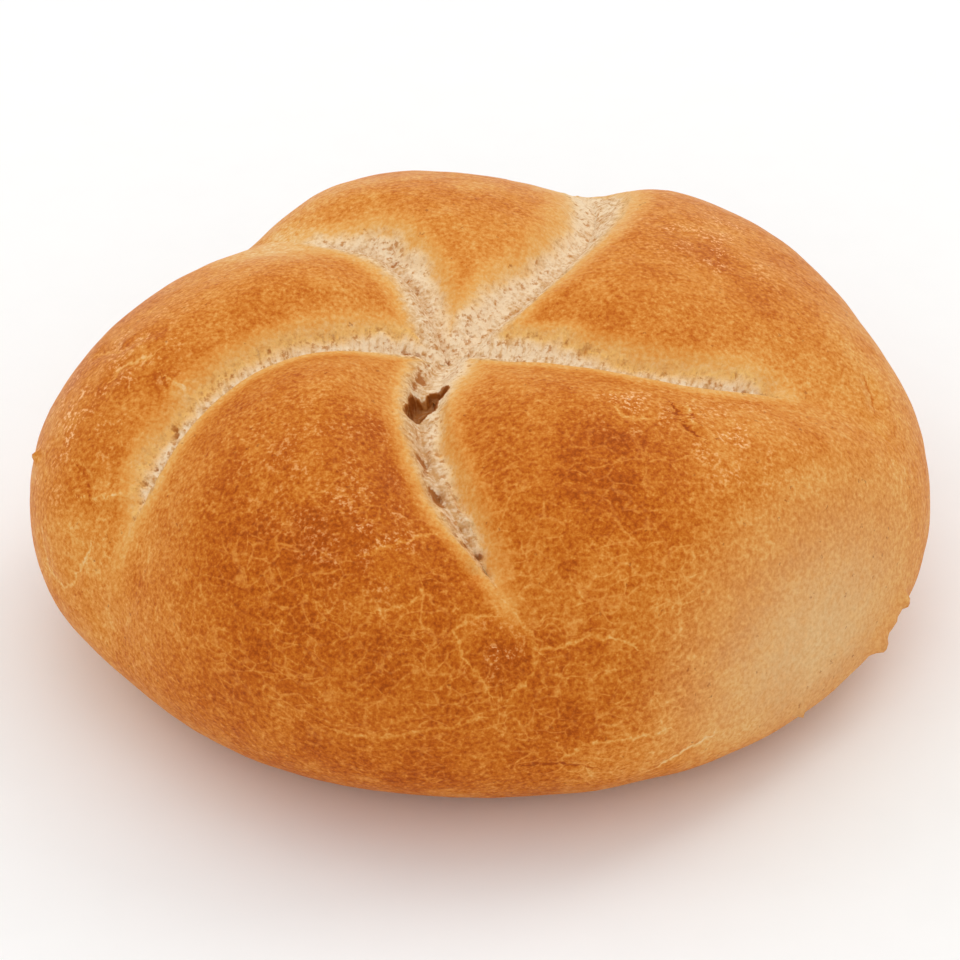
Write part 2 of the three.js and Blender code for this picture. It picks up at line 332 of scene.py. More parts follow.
# ---------------------------------------------------------------- the whole surface
def surface_grid():
    """Azimuth, polar angle, place across the lobe and lobe of each point of each ring."""
    dome = QUARTER * (np.arange(1, DOME_RINGS + 1) / DOME_RINGS) ** RING_CROWDING
    belly = QUARTER * (1 + np.arange(1, BELLY_RINGS + 1) / BELLY_RINGS)
    even = np.arange(COLUMNS_PER_LOBE) / COLUMNS_PER_LOBE
    crowded = even - COLUMN_CROWDING / (2 * np.pi) * np.sin(2 * np.pi * even)
    polar, across = np.meshgrid(
        np.concatenate([dome, belly]), np.tile(crowded, len(CUTS)), indexing="ij"
    )
    lobe = np.repeat(np.arange(len(CUTS)), COLUMNS_PER_LOBE)
    lobe = np.broadcast_to(lobe, polar.shape)
    share = share_of_radius(polar)
    starts = np.stack([cut_azimuth(cut, share) for cut in CUTS])
    ends = np.concatenate([starts[1:], starts[:1] + 2 * np.pi])
    start = np.take_along_axis(starts, lobe[None], 0)[0]
    end = np.take_along_axis(ends, lobe[None], 0)[0]
    return mix(start, end, across), polar, across, lobe


# ---------------------------------------------------------------- places on the roll
# Where the crust is browner (+) or paler (-): azimuth, polar angle, radius in mm, amount
CRUST_TONES = (
    # Browner low in front: partly real browning, partly painted shade of the lower front
    ("low front", 268, 80, 28, 0.27),
    ("low left front", 240, 90, 12, 0.08),
    ("front left lobe", 247, 52, 11, 0.06),
    ("front left lobe top", 236, 34, 14, 0.18),
    ("front left side", 230, 74, 14, 0.1),
    ("hot spot of the front lobe", 302, 28, 8, 0.1),
    ("front lobe beside the front cut", 297, 36, 8, 0.22),
    ("front lobe", 294, 48, 14, 0.04),
    ("foot of the front lobe", 291, 80, 9, 0.06),
    ("right back lobe beside its cut", 8, 20, 8, 0.1),
    ("right back lobe", 20, 36, 16, 0.1),
    ("back lobe", 95, 19, 8, 0.08),
    ("back crest", 92, 32, 16, -0.04),
    ("left lobe below its top", 194, 52, 10, 0.12),
    ("left edge", 194, 68, 9, 0.02),
    ("right edge", 352, 64, 14, -0.03),
    ("past the end of the right cut", 350, 47, 6, -0.1),
    ("outer end of the far left cut", 138, 38, 6, -0.25),
    ("edge beyond it", 140, 47, 7, -0.2),
    ("right shoulder", 323, 47, 8, -0.02),
    ("low right", 306, 100, 12, -0.12),
    ("crescent", 289, 97, 5, -0.1),
    ("left foot", 205, 82, 9, -0.06),
    ("smudge on the left lobe", 191.4, 40, 1.3, 0.2),
    ("flap on the left lobe", 194.6, 37.7, 1.5, -0.22),
    ("smudge in the upper fold", 180.4, 39.5, 1.2, 0.2),
    ("smudge below the upper fold", 180, 45.5, 1.2, 0.2),
    ("brown spot at the left edge", 201.4, 67.8, 1.6, 0.12),
    ("right back edge", 6, 62, 8, -0.14),
)
BASE_TONE = 0.5
FOOT_TONE = -0.12

# The side that was pressed flatter stayed paler, and palest in its middle
PALE_PLACE = (320, 89)
PALE_RADIUS = 16
PALE_FLATNESS = 1.5  # how much wider than high it is
PALE_FROM = 2.4  # mm pressed inwards where it is as pale as it gets
PALE_TONE = 0.06

# Where fine pale cracks craze the crust, and where glints are painted on it: the same, without a
# sign
CRAZED_PLACES = (
    ("low front", 272, 72, 24, 1.0),
    ("front lobe", 292, 60, 14, 0.9),
    ("front left lobe", 246, 62, 16, 0.7),
    ("left girth", 205, 84, 14, 0.5),
)
BASE_CRAZING = 0.25
PAINTED_GLINT_PLACES = (
    ("right back lobe", 30, 38, 7, 0.5),
    ("right back lobe, first patch", 36, 34.7, 2.6, 0.8),
    ("right back lobe, second patch", 33, 40, 2.6, 0.8),
    ("right back lobe, third patch", 25, 38, 2.2, 0.8),
    ("right back lobe, fourth patch", 16, 38, 2, 1.0),
    ("streak on the right back shoulder", 41, 47, 2.2, 1.0),
    ("front lobe beside its lip", 316.5, 27.5, 4, 1.0),
    ("front lobe", 325, 41, 6, 0.8),
    ("front left lobe", 252, 48, 5, 0.5),
    ("front left lobe top", 238, 34, 9, 0.25),
    ("below the front cut", 270.6, 68, 3, 0.4),
    ("left shoulder", 183, 53, 8, 0.55),
    ("left lobe", 178, 42, 5, 0.3),
    ("left edge", 191, 64, 6, 0.6),
)

# Folds and cracks in the crust: width and height in mm, tint, and the azimuth and polar angle
# of each corner. A tint over 0 is golden, as where the crust tore late, and under 0 dark.
CREASES = (
    ("left side of the flap below the front cut", 0.9, -0.18, 0.7,
     ((271, 60.6), (267.8, 60.6), (265.5, 64.1), (266.3, 69.2), (268.6, 74.8), (269.6, 77.8))),
    ("right side of the flap below the front cut", 0.9, -0.18, 0.7,
     ((273.1, 57), (274.6, 59.9), (276, 63.7), (276.2, 66.9), (276.3, 70.8), (275.7, 74.8),
      (273.3, 78.7))),
    ("crack from the flap to the right", 0.7, -0.15, 0.7,
     ((276.3, 68.6), (280.4, 68.4), (284.6, 66.2), (288.1, 68.3), (289.8, 70.2))),
    ("edge of the crescent at the foot", 0.9, 0.2, 0.6,
     ((279, 98.3), (281.9, 91.8), (284.9, 90.7), (290.8, 91), (293.4, 91.7))),
    ("crack below the crescent", 0.4, -0.25, -0.8,
     ((275.6, 101.2), (279.2, 101.6), (282.6, 104))),
    ("tear in the crescent", 0.8, -0.3, 0.9,
     ((293, 111), (294.8, 108.6), (296.6, 106.3), (299.9, 104.3))),
    ("upper fold of the left lobe", 0.8, -0.3, 0.6,
     ((176.9, 54.6), (178.7, 50), (180.8, 47.6), (180.1, 42.4))),
    ("lower fold of the left lobe", 0.8, -0.3, 0.6,
     ((186.9, 49.2), (185.3, 46.8), (186.3, 42.3), (185.7, 40.8))),
    ("edge of the flap on the left lobe", 1.1, 0.3, 0.8,
     ((191.9, 38.6), (194.3, 37.2), (196.7, 37))),
    ("scar on the front lobe", 0.6, -0.35, -0.9, ((322.5, 31.1), (321.1, 32.6), (320.4, 31.8))),
    ("second scar on the front lobe", 0.6, -0.35, -0.9, ((323.4, 33), (322.4, 33.8))),
    ("third scar on the front lobe", 0.6, -0.35, -0.9,
     ((319.6, 33.8), (318.8, 34.6), (318.7, 36.3))),
    ("late crust between the scars", 0.8, 0.2, 0.7, ((324.3, 32.2), (321.9, 33.3), (320.6, 35))),
    ("slit right of the right cut", 1, -0.4, -0.7,
     ((358.8, 58.3), (357.7, 59), (356.5, 59.9), (355.3, 60))),
    ("curved line on the front lobe", 0.6, -0.12, 0.6,
     ((310.6, 27.2), (309.9, 28.2), (310.4, 29.3), (314.3, 30.9))),
    ("fold at the left edge", 0.8, -0.2, -0.5, ((197.8, 63.2), (199.5, 63.1), (202.9, 66.9))),
    ("fold from the left edge to the end of the left cut", 0.8, 0.25, 0.7,
     ((201.8, 66.3), (203, 64.9), (204.4, 62.7), (206.6, 59.2))),
    ("long fold low on the left", 1, -0.25, 0.6,
     ((197, 84), (199, 89.7), (203.2, 89.6), (204.8, 87.2), (205.7, 80.2), (205.8, 76.2))),
    ("fold on the front left lobe", 0.8, -0.12, 0.6,
     ((253, 50), (256.1, 47.7), (259.4, 45.4), (262.7, 43.7))),
    ("lower fold on the front left lobe", 0.8, -0.15, 0.6,
     ((255.5, 60.5), (259.2, 59.2), (261.2, 57), (261, 55.5))),
    ("short fold on the front left lobe", 0.7, -0.12, 0.6,
     ((244.5, 59.2), (246.3, 61.5), (248.1, 62.3))),
    ("long crack low in front", 0.7, -0.12, 0.55,
     ((249, 87.4), (252.2, 88.6), (256.1, 88), (259.5, 87.2), (261.9, 86.3), (264.6, 85.7),
      (268, 84.6))),
)
CREASE_REACH = 2.5  # past this distance in mm a crease isn't felt

# The torn hole is all of these together: azimuth, polar angle, radius in mm
TORN_HOLE = (
    ("hole", 254, 13.4, 1.5),
    ("lower end", 252, 16.2, 1),
    ("upper right end", 260, 10.6, 1.1),
)
TORN_HOLE_DEPTH = 2.4
# The torn hole's dark look is painted shade, darkest right under its edge
TORN_HOLE_SHADES = (2.4, 0.7)  # how hollow it looks right under its edge, and inside

# Where else the crumb is torn open, sunk and given painted shade: azimuth, polar angle, radius in
# mm, amount
TORN_SPOTS = (
    ("inner end of the left cut", 167.5, 4.9, 0.5, 0.8),
    ("towards the middle", 165, 3.6, 0.5, 0.7),
    ("closer to the middle", 205, 2.2, 0.5, 0.7),
    ("middle", 110, 0.9, 0.6, 0.7),
    ("inner end of the back cut", 45, 3.6, 0.5, 0.7),
    ("corner between two cuts", 66, 4.6, 0.7, 0.5),
    ("left cut, first", 193.4, 33.6, 0.7, 0.6),
    ("left cut, second", 199.7, 42.3, 0.5, 0.9),
    ("left cut, third", 201, 42.8, 0.4, 0.8),
    ("left cut, fourth", 204.5, 50.8, 0.4, 0.8),
    ("left cut, fifth", 205.8, 55.1, 0.5, 0.8),
    ("left cut, sixth", 207.8, 59, 0.4, 0.7),
    ("right cut, first", 350.3, 12.4, 0.6, 0.5),
    ("right cut, second", 346.8, 14.8, 0.5, 0.75),
    ("right cut, third", 343.4, 25, 0.5, 0.6),
    ("right cut, fourth", 345.9, 36.3, 0.4, 0.8),
    ("right cut, fifth", 346.3, 38.6, 0.4, 0.8),
    ("right cut, last", 346.6, 40.3, 0.4, 0.9),
    ("far left cut, first", 116, 20.4, 0.8, 0.7),
    ("far left cut, second", 111.9, 13.2, 0.5, 0.7),
    ("far left cut, third", 120.1, 13.2, 0.5, 0.5),
    ("far left cut, last", 109, 8.9, 0.4, 0.6),
    ("front cut, first", 263.7, 40, 0.5, 0.6),
    ("front cut, second", 267.9, 44.4, 0.6, 0.9),
    ("front cut, third", 270.4, 46.3, 0.6, 0.9),
    ("front cut, fourth", 271, 50.4, 0.5, 0.8),
    ("front cut, last", 271.8, 54.2, 0.5, 0.9),
)

# Lumps (+) and holes (-): azimuth, polar angle, radius in mm, height in mm
LUMPS = (
    ("pocket in the front cut", 262, 34, 1.2, -1.1),
    ("pocket nearer the middle", 258, 24, 1.0, -0.6),
    ("pocket where the front cut ends", 269, 51, 1.1, -0.8),
    ("pit where the right cut ends", 347.5, 40, 1.4, -1.1),
    ("pit in the right cut", 346, 36, 1.2, -0.7),
    ("crescent at the foot", 287, 98, 7, 0.5),
    ("blister on the back lobe", 94, 21.4, 1.5, 0.35),
    ("flap on the left lobe", 184, 41, 4, 0.5),
    ("dent on the left lobe", 180.5, 40, 1.3, -0.25),
)
# Torn bits at the girth that stand out from the pressed side as well: the same
CRAGS = (
    ("crag beside the pressed side", 339, 102, 0.9, 1.3),
    ("crag below the pressed side", 333.5, 112, 1.4, 1.6),
    ("second crag below the pressed side", 336.5, 107, 1.6, 0.8),
    ("low crag in front", 317.5, 117, 0.9, 1.1),
    ("crag on the left girth", 187.5, 74, 0.6, 0.7),
)


# ---------------------------------------------------------------- fields and relief by place
def place_on_loaf(azimuth, polar):
    return loaf_point(np.radians(azimuth), np.radians(polar))


def closeness(points, spots):
    """Sum over the spots of amount times a bell round the spot's place."""
    total = np.zeros(points.shape[:-1])
    for _, azimuth, polar, radius, amount in spots:
        distance = np.linalg.norm(points - place_on_loaf(azimuth, polar), axis=-1)
        total += amount * bell(distance, radius)
    return total


def signed_distance(points, normals, path):
    """Distance in mm to a line through places on the loaf, negative on its right."""
    corners = [place_on_loaf(*corner) for corner in path]
    best = np.full(points.shape[:-1], np.inf)
    for start, end in zip(corners, corners[1:]):
        along = end - start
        t = np.clip((points - start) @ along / (along @ along), 0, 1)
        away = points - start - t[..., None] * along
        distance = np.linalg.norm(away, axis=-1)
        side = np.sign((np.cross(normals, along) * away).sum(-1))
        best = np.where(distance < np.abs(best), distance * np.where(side < 0, -1, 1), best)
    return best


def crease_fields(points, normals):
    """Signed distance to the nearest crease, its tint, and the relief of all of them."""
    nearest = np.full(points.shape[:-1], CREASE_REACH * 2.0)
    tint = np.zeros(points.shape[:-1])
    relief = np.zeros(points.shape[:-1])
    for _, width, height, crease_tint, path in CREASES:
        distance = signed_distance(points, normals, path)
        relief += height * bell(distance, width)
        closer = np.abs(distance) < np.abs(nearest)
        nearest = np.where(closer, distance, nearest)
        felt = 1 - smooth(CREASE_REACH * 0.6, CREASE_REACH, np.abs(distance))
        tint = np.where(closer, crease_tint * felt, tint)
    return nearest, tint, relief


def cut_fields(azimuth, polar, share, points):
    """What each place has to do with the cuts: how far it is inside the crumb, and more."""
    ragged_lip = layered_noise(points, RAGGED_LIP)
    ragged_slope = layered_noise(points, RAGGED_SLOPE)
    torn_open = smooth(-0.1, 0.4, lattice_noise(points, 1.5, 15))
    pitted = 0.5 * smooth(0.1, 0.6, lattice_noise(points, 0.9, 16))
    inside = np.full(share.shape, -EDGE_LIMIT * 1.0)
    second = inside
    golden = np.zeros(share.shape)
    fields = {}
    for cut in CUTS:
        lipwards = offset_from_cut(cut, azimuth, share) * cut["lip_side"]
        closing = smooth(*cut["closes"], share)
        lip = mix(cut["middle_lip"], cut["crumb_lip"], smooth(*LIP_SETTLES, share))
        slope = mix(cut["middle_slope"], cut["crumb_slope"], smooth(*SLOPE_SETTLES, share))
        # Past the cut's reach and below the girth, nothing is inside the crumb
        past_end = np.maximum(share - cut["reach"], 0) + np.maximum(polar - QUARTER, 0)
        past_end = past_end * girth_radius(azimuth) * 0.5
        from_lip = mix(lip, CLOSED_WIDTH, closing) - lipwards + ragged_lip - past_end
        from_slope = mix(slope, CLOSED_WIDTH, closing) + lipwards + ragged_slope - past_end
        rim = 1 - np.clip(-from_lip / cut["rim_lip"], 0, 1)
        rim = rim * (1 - np.clip(-from_slope / cut["rim_slope"], 0, 1))
        golden = np.maximum(golden, rim)
        here = np.clip(np.minimum(from_lip, from_slope), -EDGE_LIMIT, EDGE_LIMIT)
        innermost = here > inside
        second = np.maximum(second, np.minimum(inside, here))
        inside = np.maximum(inside, here)
        # The crumb is torn open a little way up the lip, and pitted at its edge on the slope, and
        # both get painted shade
        deepest = bell(lipwards - 0.9, 0.7) * (1 - closing)
        # Painted shade on the crumb nearer the lip's wall
        in_shade = smooth(-2, 0.8, lipwards) * (1 - closing) * (0.4 + 0.6 * cut["torn"])
        at_edge = bell(from_slope - 0.3, 0.5) * (1 - closing) * cut["baked"]
        found = {
            "from_lip": from_lip, "from_slope": from_slope, "across": lipwards,
            "hollow": np.maximum(deepest * torn_open * cut["torn"], at_edge * pitted),
            "floor": cut["floor"], "shaded": in_shade, "combed": 0.7 * cut["baked"] + 0.1,
            "baked": cut["baked"] * (1 - smooth(0, BAKED_WIDTH, here)),
        }
        for name, value in found.items():
            fields[name] = np.where(innermost, value, fields.get(name, 0))
    fields["along"] = share * girth_radius(azimuth)
    fields["golden"] = golden
    fields["inside"] = inside
    # Where two cuts meet, no comb shows
    fields["combed"] = fields["combed"] * smooth(0, 1.2, inside - second)
    return fields


def torn_hole(loaf, on_dome):
    """How much of the hole's depth each place has, and how much painted shade it gets."""
    beyond = np.full(loaf.shape[:-1], np.inf)
    for _, *place, radius in TORN_HOLE:
        sideways = (loaf - place_on_loaf(*place))[..., :2]
        beyond = np.minimum(beyond, np.linalg.norm(sideways, axis=-1) - radius)
    beyond += 0.25 * lattice_noise(loaf, 0.9, 27)
    sunk = (1 - smooth(-0.3, 0.1, beyond)) * on_dome
    dark = (1 - smooth(0.1, 0.45, beyond)) * on_dome
    return sunk, dark * mix(*TORN_HOLE_SHADES, smooth(0.3, 1, sunk))


def crust_fields(loaf, polar, pressed):
    """What the crust looks like by place, apart from the cuts and the creases."""
    from_pale = (loaf - place_on_loaf(*PALE_PLACE)) * (1, 1, PALE_FLATNESS)
    pale = 0.9 * pressed * bell(np.linalg.norm(from_pale, axis=-1), PALE_RADIUS)
    tone = BASE_TONE + closeness(loaf, CRUST_TONES) + layered_noise(loaf, UNEVEN_TONE)
    tone -= PALE_TONE * pressed
    tone += FOOT_TONE * smooth(np.radians(110), np.radians(170), polar)
    crazed = np.clip(BASE_CRAZING + closeness(loaf, CRAZED_PLACES) - pale, 0, 1)
    crazed *= mix(0.3, 1, smooth(-0.3, 0.3, lattice_noise(loaf, 3.2, 24)))
    # Painted glints: pale highlight flecks in the places where the crust shines
    painted_glint = np.clip(1.3 * closeness(loaf, PAINTED_GLINT_PLACES), 0, 1)
    painted_glint *= smooth(-0.1, 0.4, lattice_noise(loaf, 1.7, 23))
    warp = np.stack([lattice_noise(loaf, 2.2, seed) for seed in (31, 32, 33)], -1)
    warp += np.stack([lattice_noise(loaf, 1.1, seed) for seed in (34, 35, 36)], -1) / 2
    bent = (loaf + CRAZE_WARP * warp) * MM
    return {"pale": pale, "tone": tone, "crazed": crazed, "painted_glint": painted_glint, "bent": bent}


def build_surface():
    """Points of each ring and the fields that the relief and the material are made from."""
    azimuth, polar, across, lobe = surface_grid()
    share = share_of_radius(polar)
    loaf = loaf_point(azimuth, polar)
    normal = loaf_normal(azimuth, polar)
    fields = cut_fields(azimuth, polar, share, loaf)
    in_crumb = smooth(-0.3, 0.5, fields["inside"])

    offsets = [offset_from_cut(cut, azimuth, share) for cut in CUTS]
    grooves = [groove_depth(cut, x, share) for cut, x in zip(CUTS, offsets)]
    valleys = [valley_depth(cut, x, share) for cut, x in zip(CUTS, offsets)]
    above_belly = 1 - smooth(0.36 * np.pi, 0.8 * np.pi, polar)
    on_dome = np.where(polar < QUARTER, 1, 0)
    sunk = SUNK_DEPTH * bell(share * girth_radius(azimuth), SUNK_RADIUS) * on_dome
    groove = join(grooves, CUT_JOINING)
    floor = soft_minimum(groove, fields.pop("floor"))
    filled = mix(groove, floor, smooth(0, 0.8, fields["inside"]))
    hole, hole_painted_shade = torn_hole(loaf, on_dome)
    outwards = lobe_rise(lobe, across, share, polar) - join(valleys, VALLEY_JOINING)
    outwards = outwards * above_belly - mix(filled, TORN_HOLE_DEPTH, hole) - sunk

    above_foot = 1 - smooth(np.radians(150), np.radians(175), polar)
    comb = np.stack([fields["along"], fields["across"], polar * 0], -1)
    torn = layered_noise(comb, COMBED_CRUMB) + layered_noise(loaf, LUMPY_CRUMB)
    torn -= PIT_DEPTH * smooth(0.3, 0.8, lattice_noise(loaf, 1.5, 6))
    fields["hollow"] = np.maximum(fields["hollow"], closeness(loaf, TORN_SPOTS))
    torn -= SPOT_DEPTH * fields["hollow"] * (1 - hole)
    # The torn hole's painted shade joins that of the pits and hollows
    fields["hollow"] = np.maximum(fields["hollow"], hole_painted_shade)
    rim_bead = RIM_BEAD_HEIGHT * bell(fields.pop("from_lip") + 0.35, 0.4)
    rim_bead = rim_bead * smooth(-2, 0, fields.pop("from_slope"))
    nearest, tint, creased = crease_fields(loaf, normal)
    relief = mix(layered_noise(loaf, UNEVEN_CRUST), torn, in_crumb) + rim_bead + creased
    outwards = outwards + (relief + closeness(loaf, LUMPS)) * above_foot

    unpressed = loaf + normal * outwards[..., None]
    points = press(unpressed)
    pressed = smooth(0, PALE_FROM, np.linalg.norm(points - unpressed, axis=-1))
    points = points + normal * closeness(loaf, CRAGS)[..., None]
    # The groove's depth goes along for the shade painted into the deep crumb
    fields.update({"crease": nearest, "crease_tint": tint, "depth": groove})
    fields.update(crust_fields(loaf, polar, pressed))
    return points, fields


def with_crest_and_foot(rings, crest, foot):
    """One value for each point of the mesh: the crest, the rings, the foot's rings, its middle."""
    repeated = np.repeat(rings[-1:], FOOT_RINGS, axis=0) if foot is None else foot
    middle = repeated[-1].mean(axis=0, keepdims=True)
    flat = [ring.reshape(-1, *rings.shape[2:]) for ring in (rings, repeated)]
    return np.concatenate([crest[None], *flat, middle])


def faces_of(rings, columns):
    """Quads between the rings, and fans round the crest and the middle of the foot."""
    last = 1 + rings * columns
    corner = 1 + np.arange(rings * columns).reshape(rings, columns)
    following = np.roll(corner, -1, axis=1)
    quads = np.stack([corner[:-1], corner[1:], following[1:], following[:-1]], -1)
    top = [(0, a, b) for a, b in zip(corner[0], following[0])]
    bottom = [(last, b, a) for a, b in zip(corner[-1], following[-1])]
    return [tuple(map(int, face)) for face in [*top, *quads.reshape(-1, 4), *bottom]]


def add_object(name, data):
    thing = bpy.data.objects.new(name, data)
    bpy.context.scene.collection.objects.link(thing)
    return thing


def make_roll():
    """The whole fine surface as one closed mesh, over the middle of its solid."""
    rings, fields = build_surface()
    rings[-1, :, 2] = 0
    middle = rings[-1].mean(axis=0)
    steps = 1 - (np.arange(1, FOOT_RINGS + 1) / (FOOT_RINGS + 1))[:, None, None]
    foot = middle + (rings[-1] - middle) * steps
    crest = rings[0].mean(axis=0)
    places = with_crest_and_foot(rings, crest, foot)

    low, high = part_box("bread_roll")
    middle_of_solid = np.array([(low.x + high.x) / 2, (low.y + high.y) / 2, 0]) / MM
    middle_of_mesh = (places.min(axis=0) + places.max(axis=0)) / 2 * (1, 1, 0)
    moved = middle_of_solid - middle_of_mesh
    places = places + moved

    mesh = bpy.data.meshes.new("roll_crust_and_crumb")
    count = rings.shape[0] + FOOT_RINGS
    mesh.from_pydata((places * MM).tolist(), [], faces_of(count, rings.shape[1]))
    mesh.shade_smooth()
    for name, values in fields.items():
        flat = with_crest_and_foot(values, values[0].mean(axis=0), None)
        kind, part = ("FLOAT", "value") if flat.ndim == 1 else ("FLOAT_VECTOR", "vector")
        attribute = mesh.attributes.new(name, kind, "POINT")
        attribute.data.foreach_set(part, flat.astype(np.float32).ravel())
    return add_object("roll_crust_and_crumb", mesh), moved


# ---------------------------------------------------------------- materials
def to_linear(hex_colour):
    """An sRGB hex colour as linear red, green, blue and alpha."""
    parts = np.array([int(hex_colour[i : i + 2], 16) / 255 for i in (1, 3, 5)])
    linear = np.where(parts <= 0.04045, parts / 12.92, ((parts + 0.055) / 1.055) ** 2.4)
    return (*linear.tolist(), 1.0)


def add_node(tree, kind, inputs=None, output=0, **settings):
    """Adds a shader node with its settings and links, and gives one of its outputs.

    An input takes another node's output or a plain value.
    """
    node = tree.nodes.new("ShaderNode" + kind)
    for name, value in settings.items():
        setattr(node, name, value)
    for name, value in (inputs or {}).items():
        if isinstance(value, bpy.types.NodeSocket):
            tree.links.new(value, node.inputs[name])
        else:
            node.inputs[name].default_value = value
    return node.outputs[output] if node.outputs else None


def new_material(name):
    """A material without any nodes yet, and its node tree."""
    material = bpy.data.materials.new(name)
    material.use_nodes = True
    material.node_tree.nodes.clear()
    return material, material.node_tree


# Crust colours from pale to dark, at their place on the scale of browning
CRUST_COLOURS = (
    (0.0, "#EBC68E"),
    (0.12, "#E7B570"),
    (0.25, "#E3A556"),
    (0.4, "#DD9240"),
    (0.55, "#D3802C"),
    (0.7, "#C66C18"),
    (0.85, "#B6570B"),
    (1.0, "#9F4704"),
)
RIM_TONE = 0.14  # browning of the crust right beside the crumb
RIM_BREAK = 0.6  # how much the mottle breaks up the width of that rim, as a share of it
RIM_CALM = 0.5  # share of the unevenness that is left there and on the pale side
PRESSED_CRUST = ("#E6C38F", "#D9A66A")
CRUMB_LIGHT = "#F3DBB8"
# Darker fibres and grain of the crumb, and painted shade where it is deep and near the lip
CRUMB_DARK_AND_SHADED = "#CF9F68"
CRUMB_BAKED = "#F0BC68"
# Painted shade of the pores in the crumb
PAINTED_PORE_SHADE = "#C08040"
# Painted shade of the crumb's pits and hollows, and right under the torn hole's edge
PAINTED_HOLLOW_SHADE = "#AC682A"
PAINTED_HOLE_EDGE_SHADE = "#884408"
PINHOLE = "#8A3A0A"
# Painted highlight of the glints on the crust
PAINTED_GLINT = "#FBC48C"
STARCH_FILM = "#EFA95C"

# Clouds of browning: name, size in mm, octaves, and how much each adds to the browning
CLOUDS = (("mottle", 1.3, 2.0, 0.42), ("grain", 0.5, 3.0, 1.2))
# Sizes in mm of what shows in the crust and in the crumb
CRAZE_CELL = 2.6
CRAZE_FLATNESS = 1.9  # how much longer than high a cell is
CRAZE_WIDTH = 0.24
CRAZE_SHARE = 0.15  # how much of the starch film a craze line shows
CELL_SHADE = 0.03  # how much paler the crust is at the edge of a cell than inside it
FLECK_SHARE = 0.35  # how much of it a fleck shows
CREASE_WIDTH = 0.4
CREASE_BEND = 0.8  # how far the mottle bends a crease at most
CREASE_SHADE = 0.45
SPECK_SPACING = 0.7
SPECK_WARP = 1.3  # how far the specks are bent at most
PORE_RADIUS = 0.42
PINHOLE_RADIUS = 0.17
PINHOLE_SHARE = 0.03  # of all the specks
COMB_PITCH = 0.55
COMB_LENGTH = 1.9
# The height in mm of the fine bumps that the mesh is too coarse for
CRUST_BUMP = 0.12
CRUMB_BUMP = 0.2
# Satin on the crust, glossier where the glints are painted, matt in the crumb and on the pressed
# side
CRUST_ROUGHNESS = (0.42, 0.56)
PAINTED_GLINT_ROUGHNESS = 0.24
PRESSED_ROUGHNESS = 0.7
CRUMB_ROUGHNESS = 0.88


def crust_lines(tree, field, cloud):
    """The craze lines, and how much paler they and the creases make the crust."""
    # Cells of the crust, flat and bent so that none of them has straight sides
    bent = add_node(tree, "Attribute", output="Vector", attribute_name="bent")
    cell_place = add_node(
        tree, "VectorMath", {0: bent, 1: (1.0, 1.0, CRAZE_FLATNESS)}, operation="MULTIPLY"
    )
    cell_edge = add_node(
        tree, "TexVoronoi", {"Vector": cell_place, "Scale": 1 / (CRAZE_CELL * MM)},
        feature="DISTANCE_TO_EDGE",
    )
    cell_pale = add_node(
        tree, "MapRange",
        {"Value": cell_edge, "From Max": 0.35, "To Min": CELL_SHADE, "To Max": 0.0},
    )
    # Craze lines along their edges, broken up by the mottle
    line = add_node(
        tree, "MapRange",
        {
            "Value": cell_edge, "From Max": CRAZE_WIDTH / CRAZE_CELL,
            "To Min": CRAZE_SHARE, "To Max": 0.0,
        },
        interpolation_type="SMOOTHSTEP",
    )
    broken = add_node(
        tree, "MapRange", {"Value": cloud["mottle"], "From Min": 0.66, "From Max": 0.5}
    )
    for mask in (broken, field["crazed"]):
        line = add_node(tree, "Math", {0: line, 1: mask}, operation="MULTIPLY")
    paler = add_node(
        tree, "Math", {0: cell_pale, 1: field["crazed"], 2: line}, operation="MULTIPLY_ADD"
    )

    # Folds and cracks: golden where their tint is positive, dark where it is negative
    crease = add_node(
        tree, "Math", {0: cloud["mottle"], 1: 2 * CREASE_BEND, 2: field["crease"]},
        operation="MULTIPLY_ADD",
    )
    crease = add_node(tree, "Math", {0: crease, 1: CREASE_BEND}, operation="SUBTRACT")
    crease = add_node(tree, "Math", {0: crease}, operation="ABSOLUTE")
    crease = add_node(
        tree, "MapRange",
        {"Value": crease, "From Max": CREASE_WIDTH, "To Min": CREASE_SHADE, "To Max": 0.0},
        interpolation_type="SMOOTHSTEP",
    )
    paler = add_node(
        tree, "Math", {0: crease, 1: field["crease_tint"], 2: paler}, operation="MULTIPLY_ADD"
    )
    return line, paler


def crust_browning(tree, field, cloud, paler):
    """How brown the crust is: its tone, less what is paler, and golden beside the crumb."""
    browning = add_node(tree, "Math", {0: field["tone"], 1: paler}, operation="SUBTRACT")
    rim = add_node(
        tree, "Math", {0: cloud["mottle"], 1: RIM_BREAK, 2: field["golden"]},
        operation="MULTIPLY_ADD",
    )
    rim = add_node(
        tree, "MapRange", {"Value": rim, "From Min": RIM_BREAK / 2, "From Max": 1 + RIM_BREAK / 2}
    )
    browning = add_node(tree, "Mix", {"Factor": rim, 2: browning, 3: RIM_TONE})
    # The clouds have a mean of a half, and are calmer where the crust is pale
    uneven = -sum(amount for *_, amount in CLOUDS) / 2
    for name, _, _, amount in CLOUDS:
        uneven = add_node(
            tree, "Math", {0: cloud[name], 1: amount, 2: uneven}, operation="MULTIPLY_ADD"
        )
    calm = add_node(tree, "Math", {0: rim, 1: field["pale"]}, operation="MAXIMUM")
    calm = add_node(tree, "MapRange", {"Value": calm, "To Min": 1.0, "To Max": RIM_CALM})
    return add_node(tree, "Math", {0: uneven, 1: calm, 2: browning}, operation="MULTIPLY_ADD")


